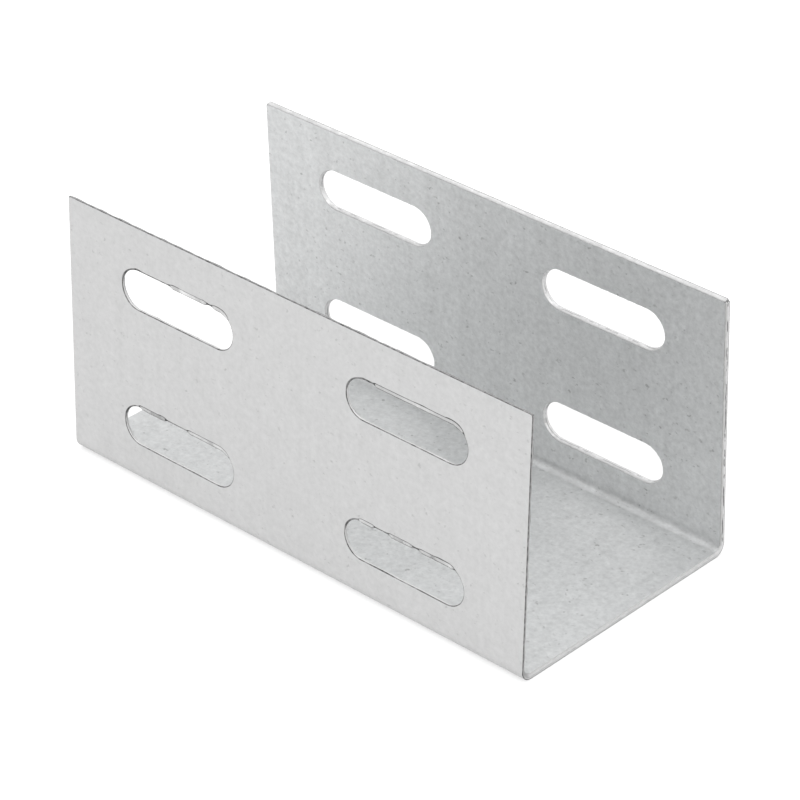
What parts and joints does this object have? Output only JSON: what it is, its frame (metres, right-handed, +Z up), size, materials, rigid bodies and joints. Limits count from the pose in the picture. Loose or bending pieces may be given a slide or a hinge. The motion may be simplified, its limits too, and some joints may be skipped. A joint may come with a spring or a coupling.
{
  "type": "u bracket",
  "caption": "Open U-shaped bracket folded from thin galvanised sheet, with rows of long slots in its flanges for screwing to whatever it straddles.",
  "frame": {"origin": "middle of the web's underside", "axes": "+X along the channel, +Y across it towards the far flange, +Z up out of the web's inside face"},
  "size_m": [0.1, 0.049, 0.0477],
  "materials": {
    "galvanised_steel": "hot-dip galvanised sheet, dull satin grey with a fine mottle"
  },
  "bodies": {
    "root": {"u_bracket": "galvanised_steel"}
  },
  "joints": []
}
